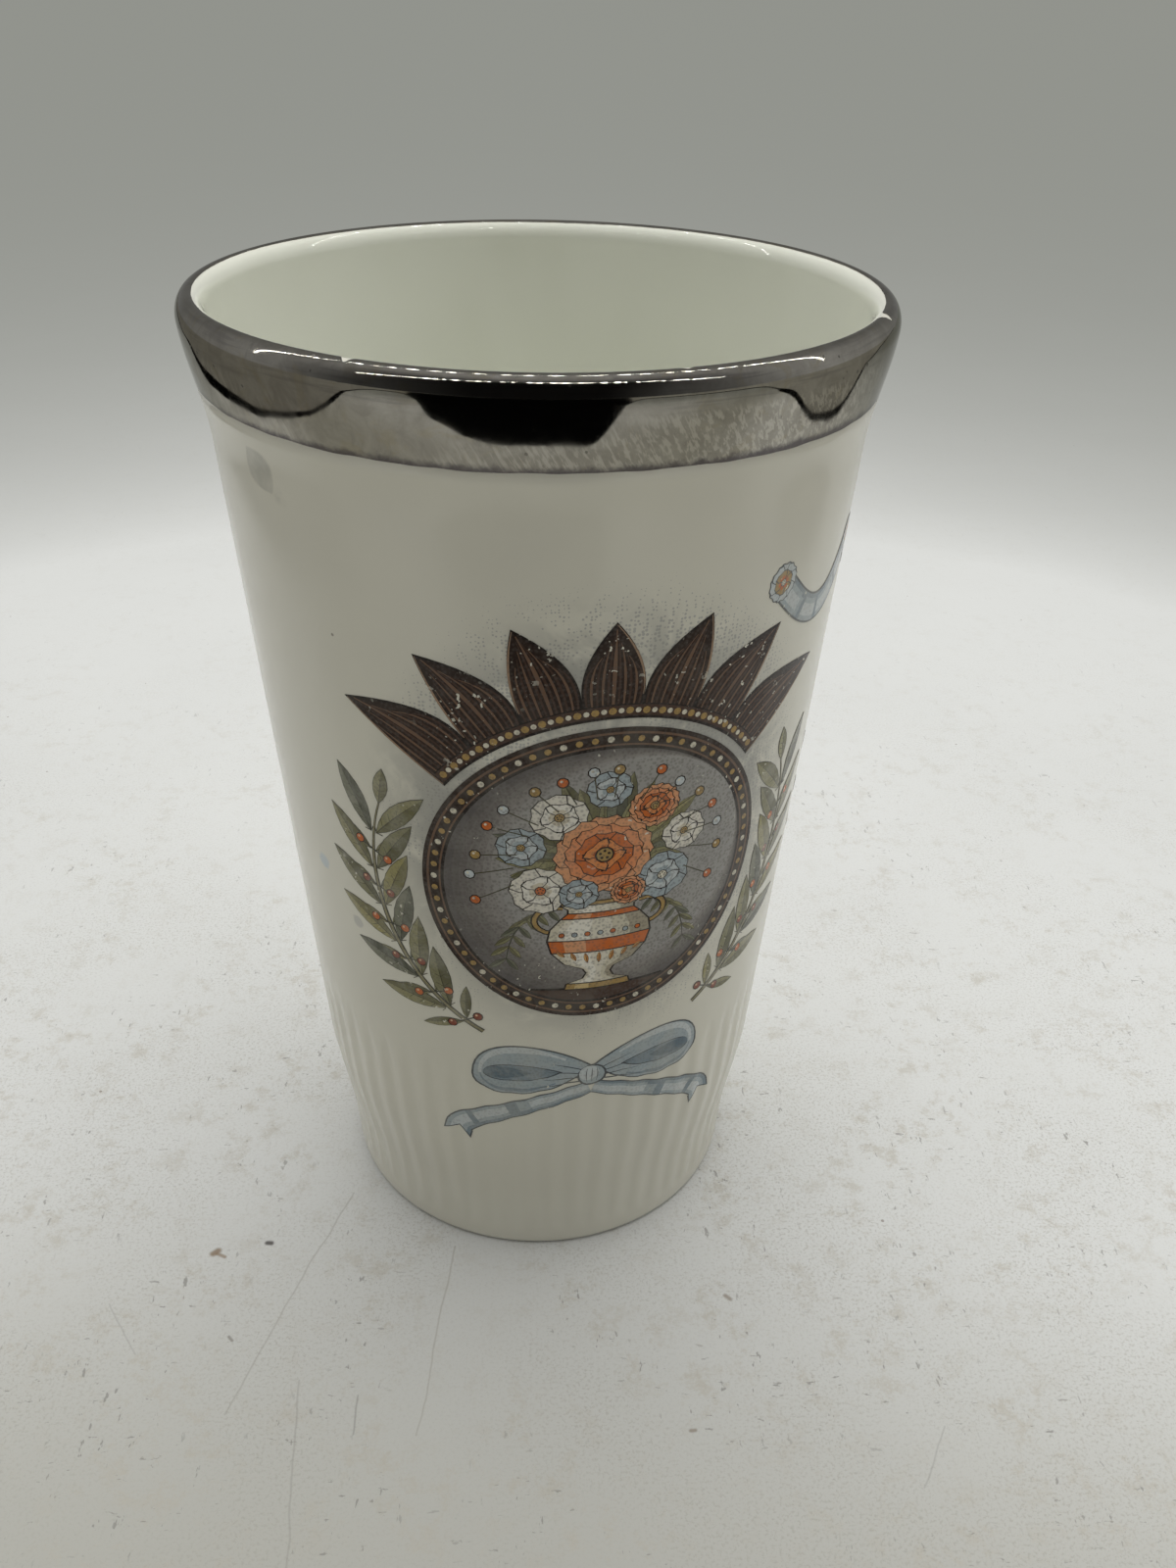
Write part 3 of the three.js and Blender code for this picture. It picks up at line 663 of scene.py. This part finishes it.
def swag_art():
    art = Drawing()
    xs = np.linspace(-SWAG_SPAN, SWAG_SPAN, 57)
    line = [(x, -SWAG_SAG * abs(sin(pi * x / SWAG_SPAN))) for x in xs]
    ribbon(art, line, SWAG_WIDTH, ((6, 2), (13, 1), (20, 2), (34, 2), (41, 1), (48, 2)))
    for side in (-1, 1):
        for k in range(5):
            x = side * (0.5 + 0.5 * k)
            crease = quad_curve((x * 0.4, 1 - 0.4 * k), (x, 0.2 - 0.5 * k),
                                (x + side * 2.2, -0.6 - 0.75 * k), 5)
            art.stroke(crease, 0.13, BLUE_LINE, (1, 0.2))
    for x, size in ((-SWAG_SPAN, 1), (SWAG_SPAN, 1), (0, 0.9)):
        petals = ((8, 1, BLUE_LIGHT, BLUE), (6, 0.62, OCHRE, ORANGE))
        art.flower(x, 0.1, 0.62 * SWAG_WIDTH * size, petals, CREAM, BLUE_LINE)
    return art


# Materials
class Value:
    """An output of a node. Arithmetic and comparisons with it add Math nodes."""

    def __init__(self, nodes, socket):
        self.nodes, self.socket = nodes, socket


for sign, operation in (("add", "ADD"), ("sub", "SUBTRACT"), ("mul", "MULTIPLY"), ("pow", "POWER"),
                        ("lt", "LESS_THAN"), ("gt", "GREATER_THAN")):
    setattr(Value, f"__{sign}__", lambda a, b, operation=operation: a.nodes.math(operation, a, b))


class Nodes:
    """The nodes of a material or of the world."""

    def __init__(self, name, world=None):
        self.material = world or bpy.data.materials.new(name)
        self.material.use_nodes = True
        self.tree = self.material.node_tree
        self.shader = self.tree.nodes["Background" if world else "Principled BSDF"]
        self.place = self.add("TexCoord", result="Generated" if world else "Object")

    def node(self, kind, inputs=(), **settings):
        node = self.tree.nodes.new("ShaderNode" + kind)
        for key, value in settings.items():
            setattr(node, key, value)
        for key, value in dict(inputs).items():
            self.feed(node.inputs[key], value)
        return node

    def add(self, kind, inputs=(), result=0, **settings):
        return Value(self, self.node(kind, inputs, **settings).outputs[result])

    def feed(self, socket, value):
        value = value.socket if isinstance(value, Value) else value
        if isinstance(value, bpy.types.NodeSocket):
            self.tree.links.new(value, socket)
        elif socket.type == "RGBA" and len(value) == 3:
            socket.default_value = (*value, 1)
        else:
            socket.default_value = value

    def math(self, operation, a, b=0, clamp=False):
        return self.add("Math", {0: a, 1: b}, operation=operation, use_clamp=clamp)

    def vector(self, operation, *inputs, result=0, **named):
        return self.add("VectorMath", {**dict(enumerate(inputs)), **named}, result, operation=operation)

    def parts(self):
        return [Value(self, socket) for socket in self.node("SeparateXYZ", {0: self.place}).outputs]

    def rays(self):
        return {socket.name: Value(self, socket) for socket in self.node("LightPath").outputs}

    def noise(self, scale, detail=2, roughness=0.5, where=None, distortion=0, result=0):
        return self.add("TexNoise", {"Vector": where or self.place, "Scale": scale, "Detail": detail,
                                     "Roughness": roughness, "Distortion": distortion}, result)

    def cells(self, scale, randomness=1):
        """Distance to the nearest of many scattered points."""
        return self.add("TexVoronoi", {"Vector": self.place, "Scale": scale, "Randomness": randomness},
                        "Distance")

    def ramp(self, value, low, high, to_low=0, to_high=1):
        return self.add("MapRange", {"Value": value, "From Min": low, "From Max": high, "To Min": to_low,
                                     "To Max": to_high}, interpolation_type="SMOOTHSTEP")

    def blend(self, share, a, b):
        """The mix node's sockets 0, 6 and 7 are the share and the two colours."""
        return self.add("Mix", {0: share, 6: a, 7: b}, 2, data_type="RGBA")

    def paint(self, share, colour):
        self.colour = self.blend(share, self.colour, colour)

    def stretched(self, x, y, z):
        return self.add("Mapping", {"Vector": self.place, "Scale": (x, y, z)})

    def on_cup(self):
        """Finds the azimuth in radians, and the height and the distance from the axis in millimetres."""
        x, y, z = self.parts()
        self.azimuth, self.height = self.math("ARCTAN2", x, y * -1), z * (1 / MM)
        flat = self.vector("MULTIPLY", self.place, (1 / MM, 1 / MM, 0))
        return self.height, self.vector("LENGTH", flat, result="Value")

    def spot(self, at, wide, tall):
        """1 in the middle of an oval spot on the wall and 0 outside it."""
        dx = (self.azimuth - at[0]) * (MEAN_RADIUS / wide)
        dy = (self.height - at[1]) * (1 / tall)
        far = self.math("SQRT", dx ** 2 + dy ** 2)
        return self.math("SUBTRACT", 1, far, clamp=True)

    def leaf_mark(self, at, wide, length, lean):
        """1 along the middle of a leaf-shaped mark and 0 outside it. Leaning turns its top left."""
        dx = (self.azimuth - at[0]) * MEAN_RADIUS
        dy = self.height - at[1]
        turn, rise = sin(lean), cos(lean)
        across = dx * (rise / wide) + dy * (turn / wide)
        along = dx * (-turn / length) + dy * (rise / length)
        inside = self.math("SUBTRACT", 1, along ** 2)
        return self.math("SUBTRACT", inside, self.math("ABSOLUTE", across), clamp=True)

    def scratch(self, place, start, end, width):
        """1 on a thin line between two spots of the floor, given in millimetres, and 0 away from it."""
        a, b = (Vector((x * MM, y * MM, 0)) for x, y in (start, end))
        run = b - a
        here = self.vector("SUBTRACT", place, tuple(a))
        along = self.vector("DOT_PRODUCT", here, tuple(run / run.length_squared), result="Value")
        along = self.math("ADD", along, 0, clamp=True)
        nearest = self.vector("SCALE", tuple(run), Scale=along)
        far = self.vector("LENGTH", self.vector("SUBTRACT", here, nearest), result="Value")
        return self.ramp(far, 0.2 * width * MM, width * MM, 1, 0)

    def finish(self, roughness, bump, **plain):
        """Fills in the shader. The bump is a height and its size in metres."""
        normal = self.add("Bump", {"Height": bump[0], "Distance": bump[1]})
        self.feed(self.shader.inputs["Normal"], normal)
        for name, value in {"Base Color": self.colour, "Roughness": roughness, **plain}.items():
            self.feed(self.shader.inputs[name.replace("_", " ")], value)
        return self.material

    def show(self, node):
        """Makes a node the material's surface."""
        self.tree.links.new(node.outputs[0], self.tree.nodes["Material Output"].inputs["Surface"])
        return self.material


MEAN_RADIUS = 32
GLAZE, GLAZE_SHADE = (0.7, 0.68, 0.57), (0.66, 0.64, 0.54)
GLAZE_INSIDE_LIT, LINING_SHADE = (0.76, 0.77, 0.675), (0.7, 0.71, 0.61)
STIPPLE, WASH = (0.25, 0.255, 0.26), (0.31, 0.305, 0.275)
SPECK, BARE_CLAY = (0.16, 0.13, 0.1), (0.58, 0.55, 0.47)
SMEAR_AT, SMEAR_FOOT, BAND_FOOT = (-0.85, 101.7), (-0.79, 99.6), 104.9
# A line between the wall's two faces: its radius at the table and how much it grows with height
PARTING, PARTING_SLOPE, INSIDE_FROM = 24.9, 0.0825, 3.3


def glaze_material():
    n = Nodes("glazed_porcelain")
    height, away = n.on_cup()
    n.colour = n.blend(n.ramp(n.noise(22, 3, 0.6), 0.35, 0.65), GLAZE, GLAZE_SHADE)
    # Grey stipple and a grey wash round each motif, thinning outwards.
    dots = n.cells(2500, 0.5)
    patches, streaks = n.noise(60, 2, 0.6), n.noise(130, 4, 0.65, distortion=0.8)
    for at in (FRONT, SIDE):
        halo = n.spot((at, MOTIF_HEIGHT + 5), 34, 38)
        core = n.ramp(halo, 0.14, 0.38) * n.ramp(patches, 0.3, 0.55)
        n.paint((dots < core * 0.4) * 0.55, STIPPLE)
        n.paint(n.ramp(halo, 0.2, 0.5, 0, 0.8) * n.ramp(streaks, 0.33, 0.6), WASH)
    # A smear of lustre under the band.
    smear = n.leaf_mark(SMEAR_AT, 2.4, 2.5, radians(36)) + n.spot(SMEAR_FOOT, 2.6, 1.8) * 0.16
    ragged = n.ramp(smear + n.noise(420, 3, 0.6) * 0.3, 0.2, 0.42)
    strength = n.ramp(n.noise(500, 3, 0.6), 0.3, 0.7, 0.38, 0.62)
    n.paint(ragged * strength, (0.36, 0.35, 0.3))
    # Painted shade: the glaze greys towards the band just under it, with a ragged edge.
    band_shade = height + n.noise(130, 3, 0.6) * 1.2
    n.paint(n.ramp(band_shade, BAND_FOOT, BAND_FOOT + 1.7, 0, 0.22), (0.36, 0.35, 0.34))
    # Two stray flecks on the left.
    for at, wide, tone, share in (((-0.89, 56), 2, (0.42, 0.52, 0.6), 0.6),
                                  ((-0.73, 50), 1.5, (0.35, 0.35, 0.34), 0.5)):
        fleck = n.ramp(n.spot(at, wide, wide) + n.noise(600) * 0.6, 0.7, 0.95)
        n.paint(fleck * share, tone)
    # The inside is painted whiter, a painted brightening that stands in for light inside the cup, and it is a
    # little greener.
    across = away - (height * PARTING_SLOPE + PARTING)
    inside = n.ramp(across, -0.6, 0.6, 1, 0) * (height > INSIDE_FROM)
    lining = n.ramp(n.noise(26, 3, 0.6, where=n.stretched(1, 1, 0.5)), 0.35, 0.65)
    n.paint(inside, n.blend(lining, GLAZE_INSIDE_LIT, LINING_SHADE))
    # Dark specks everywhere, and the unglazed ring under the foot.
    n.paint((n.cells(75) < 0.022) * 0.65, SPECK)
    bare = n.ramp(height, 0.12, 0.4, 1, 0)
    n.paint(bare, BARE_CLAY)
    gloss = n.ramp(n.noise(90, 3, 0.6), 0.3, 0.7, 0.15, 0.21) * n.ramp(height, 108, 112, 1, 0.25)
    waves = n.noise(70) + n.noise(620, 1) * 0.05
    return n.finish(gloss + bare * 0.55, (waves, 0.00009), Specular_IOR_Level=0.5, IOR=1.5)


def lustre_material():
    n = Nodes("platinum_lustre")
    x, y, z = n.parts()
    height = z * (1 / MM)
    cloud = n.noise(330, 4, 0.7, distortion=0.6)
    n.colour = n.blend(n.ramp(cloud, 0.3, 0.7), (0.36, 0.345, 0.305), (0.28, 0.265, 0.232))
    # Brush strokes: upright all round, slanted in patches, and long ones along the lip.
    brushed = n.noise(1500, 2, 0.6, where=n.stretched(1, 1, 0.16))
    n.paint(n.ramp(brushed, 0.58, 0.8, 0, 0.35), (0.2, 0.19, 0.17))
    slanted = n.add("CombineXYZ", {0: x + z * 0.55, 1: y, 2: z * 0.07})
    strokes = n.ramp(n.noise(2300, 2, 0.7, where=slanted), 0.47, 0.6) * n.ramp(n.noise(48), 0.42, 0.58)
    n.paint(strokes * n.ramp(height, 110.2, 111.2, 0.55, 0), (0.55, 0.53, 0.47))
    along_lip = n.ramp(n.noise(2300, 2, 0.6, where=n.stretched(0.05, 0.05, 1)), 0.5, 0.7)
    n.paint(along_lip * n.ramp(height, 110.2, 111.5) * 0.45, (0.19, 0.18, 0.17))
    # Warm clouds, dark pits, and a dark edge where the film runs out.
    n.paint(n.ramp(n.noise(210, 4, 0.7, distortion=1.5), 0.52, 0.66) * 0.3, (0.3, 0.26, 0.17))
    pit = (n.cells(620) < 0.1) * n.ramp(n.noise(75), 0.48, 0.62)
    n.paint(pit * 0.7, (0.08, 0.075, 0.07))
    thin = height + n.noise(420, 4, 0.75) * 1.5
    n.paint(n.ramp(thin, 106.6, 107.4, 0.9, 0), (0.1, 0.09, 0.095))
    roughness = n.ramp(cloud, 0.3, 0.7, 0.035, 0.085) + pit * 0.4
    bumps = cloud * 0.05 + brushed * 0.03
    return n.finish(roughness, (bumps, 0.00002), Metallic=1, Specular_Tint=(0.6, 0.6, 0.58, 1))


def enamel_material(name, grain, wear, sheer):
    """Printed enamel: stippled, chipped in patches, and sheer in places."""
    n = Nodes(name)
    n.colour = n.add("Attribute", result="Color", attribute_name="enamel")
    thin = n.ramp(n.noise(240, 4, 0.65, distortion=0.7), 0.36, 0.66, 0, sheer)
    n.paint(thin, (0.52, 0.51, 0.44))
    n.paint(n.ramp(n.cells(2600, 0.85), 0.2, 0.6, grain, 0), (0.1, 0.085, 0.075))
    wear_and_shade = (n.noise(1500, 2, 0.55) > wear) * n.ramp(n.noise(95), 0.45, 0.62)
    n.paint(wear_and_shade, GLAZE)
    roughness = n.ramp(n.noise(300, 3, 0.6), 0.3, 0.7, 0.14, 0.26)
    return n.finish(roughness, (n.noise(900), 0.00001), Specular_IOR_Level=0.22, IOR=1.5)


# Scratches and crumbs on the floor: both ends in millimetres, half the width, strength and colour
FLOOR_MARKS = [
    ((-24, -16), (-35, -48), 0.18, 0.35, (0.25, 0.23, 0.19)),
    ((-10, -25), (-13, -51), 0.16, 0.38, (0.27, 0.24, 0.19)),
    ((-27, -44), (-25, -68), 0.18, 0.35, (0.25, 0.23, 0.2)),
    ((-20, -46), (-20, -51), 0.16, 0.5, (0.2, 0.19, 0.17)),
    ((-52, -33), (-47, -40), 0.14, 0.3, (0.22, 0.21, 0.19)),
    ((43, -58), (47, -51), 0.16, 0.35, (0.25, 0.24, 0.22)),
    ((-40.5, -25.5), (-40, -25), 0.7, 0.8, (0.2, 0.12, 0.05)),
    ((-40, -25.5), (-39, -26), 0.4, 0.7, (0.23, 0.15, 0.08)),
    ((-34, -24), (-33.5, -24), 0.55, 0.9, (0.05, 0.04, 0.035)),
    ((-36.5, -38), (-36, -38.5), 0.3, 0.6, (0.14, 0.12, 0.09)),
    ((24, -33), (24.5, -33.5), 0.45, 0.65, (0.2, 0.15, 0.1)),
    ((18, -51), (18.5, -51), 0.35, 0.65, (0.2, 0.15, 0.1)),
]
# The floor's paint, a darker tone of it, and the painted shade in front of the cup
PAINT, PAINT_SHADE, PAINT_FRONT_SHADE = (0.65, 0.655, 0.63), (0.63, 0.635, 0.61), (0.405, 0.4, 0.352)
BACKGROUND = (0.286, 0.293, 0.266)
FADE_FROM, FADE_POWER = 0.2355, 2.08


def floor_material():
    n = Nodes("studio_sweep")
    x, y, _ = n.parts()
    depth = y + x * 0.15
    n.colour = n.blend(n.ramp(n.noise(9, 3, 0.6), 0.35, 0.65), PAINT, PAINT_SHADE)
    # Painted shade: the floor is darker in a band in front of the cup, and a little more of it on the left.
    wear_and_shade = n.ramp(depth, -0.085, -0.01, 1, 0) * n.ramp(depth, -0.2, -0.09, 0, 1)
    n.paint(wear_and_shade, PAINT_FRONT_SHADE)
    # Mottle in patches, grit, flecks that run two ways, scratches and crumbs.
    near = n.ramp(y, -0.03, 0.2, 1, 0.15)
    patches = n.ramp(n.noise(60, 3), 0.4, 0.6, 0.3, 1)
    mottle = n.ramp(n.noise(230, 6, 0.85), 0.49, 0.64, 0, 0.55) * patches
    n.paint(mottle * near, (0.44, 0.405, 0.33))
    grit = n.ramp(n.noise(2500, 2, 0.8), 0.5, 0.66, 0, 0.5) * n.ramp(n.noise(40, 3), 0.36, 0.62, 0.3, 1)
    n.paint(grit * near, (0.34, 0.32, 0.27))
    for scale, stretch, cut in ((900, (1, 0.35, 1), 0.645), (1100, (0.35, 1, 1), 0.65)):
        grain = n.noise(scale, 3, 0.7, where=n.stretched(*stretch))
        fleck = n.ramp(grain, cut, cut + 0.03) * n.ramp(n.noise(55), 0.42, 0.6)
        n.paint(fleck * near * 0.7, (0.22, 0.21, 0.19))
    bent = n.vector("MULTIPLY_ADD", n.noise(90, 3, result="Color"), (0.0016, 0.0016, 0), n.place)
    for start, end, width, share, dark in FLOOR_MARKS:
        n.paint(n.scratch(bent, start, end, width) * share, dark)
    n.paint((n.cells(95) < 0.02) * 0.6, (0.16, 0.12, 0.09))
    n.finish(0.55, (n.noise(300, 3), 0.00005))
    # The floor fades into the plain background, but not for the rays that light the cup.
    rays = n.rays()
    looking = n.math("MAXIMUM", rays["Is Glossy Ray"], rays["Is Transmission Ray"])
    looking = n.math("MAXIMUM", rays["Is Camera Ray"], looking)
    kept = n.math("DIVIDE", FADE_FROM, n.vector("LENGTH", n.place, result="Value")) ** FADE_POWER
    share = n.math("SUBTRACT", 1, kept, clamp=True) * looking
    glow = n.node("Emission", {"Color": BACKGROUND})
    return n.show(n.node("MixShader", {0: share, 1: n.shader.outputs[0], 2: glow.outputs[0]}))


# The pieces
body = skin("porcelain_body", body_rings(), glaze_material())
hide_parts("cup_body")
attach(body, "root")

band = skin("lustre_film", band_rings(), lustre_material(), closed_loop=True)
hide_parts("rim_band")
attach(band, "root")

# Each enamel's grain, where its chips begin, and how sheer it gets
ENAMELS = {"enamel_picture": (0.42, 0.7, 0.12), "enamel_brown": (0.34, 0.66, 0.04),
           "enamel_green": (0.26, 0.68, 0.3), "enamel_blue": (0.18, 0.72, 0.3)}
materials = {name: enamel_material(name, *looks) for name, looks in ENAMELS.items()}
# Each island's drawing, rise, enamel, and cuts in each flute's width
PRINTS = {
    "medallion": (medallion_art(), 0, "enamel_picture", 2),
    "crest": (crest_art(), 0, "enamel_brown", 2),
    "left_spray": (spray_art(-1), 0, "enamel_green", 4),
    "right_spray": (spray_art(1), 0, "enamel_green", 4),
    "bow": (bow_art(), -BOW_DROP, "enamel_blue", 4),
}


def place_print(node, art, azimuth, height, slot, lines):
    piece = film(node + "_print", art, azimuth, height, materials[slot], lines)
    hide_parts(node)
    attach(piece, "root")


for where, azimuth in (("front", FRONT), ("side", SIDE)):
    for part, (art, rise, slot, lines) in PRINTS.items():
        place_print(f"{where}_{part}", art, azimuth, MOTIF_HEIGHT + rise, slot, lines)
place_print("ribbon_swag", swag_art(), 0.5 * (FRONT + SIDE), MOTIF_HEIGHT + SWAG_RISE, "enamel_blue", 2)

# Floor, light and camera
FLOOR_HALF = 4000
corners = [(FLOOR_HALF * x, FLOOR_HALF * y, 0) for x, y in ((-1, -1), (1, -1), (1, 1), (-1, 1))]
floor = make_object("studio_floor", corners, [(0, 1, 2, 3)], [floor_material()])

# The mirror-like band shows a pale sheet's black trim and the dark table beyond, which no other rays meet.
# The sheet's edge is given as angles from the front, in degrees, and distances.
SHEET_EDGE = [(-165, 3900), (-150, 1200), (-140, 450), (-134, 320), (-130, 285), (-120, 250), (-110, 225),
              (-100, 205), (-86, 194), (-74, 195), (-66, 215), (-60, 255), (-55, 360), (-48, 900), (-40, 900),
              (-38, 400), (-35, 210), (-24, 168), (-15, 155), (16, 155), (20, 175), (25, 260), (30, 900),
              (66, 700), (73, 290), (80, 260), (88, 215), (95, 203), (105, 212), (112, 228), (116, 280),
              (122, 500), (130, 1400), (142, 3900)]
EDGE_STEP, ROUNDING = 0.25, 17
TRIM, TRIM_FROM, TRIM_GROWTH = 9, 200, 0.3
SHADED, SHADED_REACH, SHEET_Z = (-39, 26), 3900, 0.5
# The trim and the table glow instead of being lit: painted reflections, the table paler on its right.
BLACK, TABLE_LEFT, TABLE_RIGHT = (0.002, 0.002, 0.002), (0.27, 0.26, 0.23), (0.36, 0.35, 0.31)


def glow_material(name, colour, on_right=None):
    n = Nodes(name)
    if on_right:
        colour = n.blend(n.ramp(n.parts()[0], 0, 0.2), colour, on_right)
    return n.show(n.node("Emission", {"Color": colour}))


def mirror_only(ob):
    ob.visible_camera = ob.visible_diffuse = ob.visible_transmission = ob.visible_shadow = False


def surroundings():
    angles = np.arange(SHEET_EDGE[0][0], SHEET_EDGE[-1][0] + 0.01, EDGE_STEP)
    rounding = np.hanning(2 * ROUNDING + 1)
    edge = np.pad(np.interp(angles, *zip(*SHEET_EDGE)), ROUNDING, mode="edge")
    edge = np.convolve(edge, rounding / rounding.sum(), mode="valid")
    edge += wobble(np.radians(angles), 8, (19, 31, 53, 83), 1.6)
    trim = (edge + TRIM + TRIM_GROWTH * (edge - TRIM_FROM).clip(0)).clip(0, FLOOR_HALF - 50)
    # In front the black trim reaches far out: painted shade on the camera's side, seen only in the band.
    trim = np.where((angles > SHADED[0]) & (angles < SHADED[1]), SHADED_REACH, trim)
    count = len(angles)
    far = np.full(count, FLOOR_HALF)
    verts = np.concatenate([around(np.radians(angles), reach, SHEET_Z) for reach in (edge, trim, far)])
    faces = [[k * count + i, (k + 1) * count + i, (k + 1) * count + i + 1, k * count + i + 1]
             for k in range(2) for i in range(count - 1)]
    materials = [glow_material("sheet_trim", BLACK), glow_material("dark_table", TABLE_LEFT, TABLE_RIGHT)]
    ob = make_object("surroundings", verts, faces, materials)
    ob.data.polygons.foreach_set("material_index", [k // (count - 1) for k in range(len(faces))])
    mirror_only(ob)


LAMP_PITCH, LAMP_SHIFT, LAMP_HALF, LAMP_GLOW = 20, 0.2, (2, 4.4), (80, 80, 77.6)


def lamp_row(name, centre, length):
    """A row of small lamps over the cup, which the lip shows as sparks."""
    rng = Random(name)
    count = round(length / LAMP_PITCH)
    verts, faces = [], []
    for i in range(count):
        x = centre[0] + (i - (count - 1) / 2 + rng.uniform(-LAMP_SHIFT, LAMP_SHIFT)) * LAMP_PITCH
        half = rng.uniform(*LAMP_HALF)
        faces.append([len(verts) + k for k in range(4)])
        verts += [(x + dx * half, centre[1] + dy * half, centre[2])
                  for dx, dy in ((-1, -1), (-1, 1), (1, 1), (1, -1))]
    mirror_only(make_object(name, verts, faces, [glow_material(name, LAMP_GLOW)]))


surroundings()
lamp_row("lamps_behind", (0, 113, 447), 2000)
lamp_row("lamps_before", (0, -223, 427), 820)

# The room is brightest overhead and dark on the camera's side, and its right is a little paler than its
# left. Mirrors show more of the dark and a smaller bright patch overhead.
world = bpy.data.worlds.new("studio")
scene.world = world
n = Nodes("studio", world)
x, y, z = n.parts()
rays = n.rays()
sides = n.ramp(x, 0.3, 1, 0, 0.19) + n.ramp(x, -0.3, -1, 0, 0.07)
room = n.ramp(y, -0.92, -0.1, 0.012, 0.3) + sides + n.ramp(z, 0.35, 0.95, 0, 0.9)
mirrored = n.ramp(y, -0.6, 0.1, 0.008, 0.3) + sides + n.ramp(z, 0.78, 1, 0, 0.2)
seen = n.blend(rays["Is Glossy Ray"], room, mirrored)
n.feed(n.shader.inputs["Color"], n.blend(rays["Is Camera Ray"], seen, BACKGROUND))

lamp = bpy.data.lights.new("overhead_softbox", "AREA")
lamp.shape, lamp.size, lamp.size_y, lamp.energy = "RECTANGLE", 0.5, 0.3, 1.4
softbox = placed("overhead_softbox", lamp)
softbox.location = (0.03, 0.13, 0.52)
softbox.rotation_euler = (Vector((0, 0.06, 0)) - softbox.location).to_track_quat("-Z", "Y").to_euler()
softbox.visible_glossy = False

# The camera was fitted to the photograph. Its frame is 1600 pixels high and its focal length 1400 pixels.
right = Vector((0.99939223, -0.02848583, 0.02009322))
up = Vector((-0.00212828, 0.52547157, 0.8508085))
forward = Vector((0.0347944, 0.85033416, -0.52509158))
data = bpy.data.cameras.new("camera")
data.sensor_fit, data.sensor_height, data.clip_start = "VERTICAL", 36, 0.005
data.lens = data.sensor_height * 1400 / 1600
camera = placed("camera", data)
turned = Matrix((right, up, -forward)).transposed().to_4x4()
camera.matrix_world = Matrix.Translation((0, -0.14499, 0.1436)) @ turned
bpy.context.scene.camera = camera

view = bpy.context.scene.view_settings
view.view_transform = "Standard"
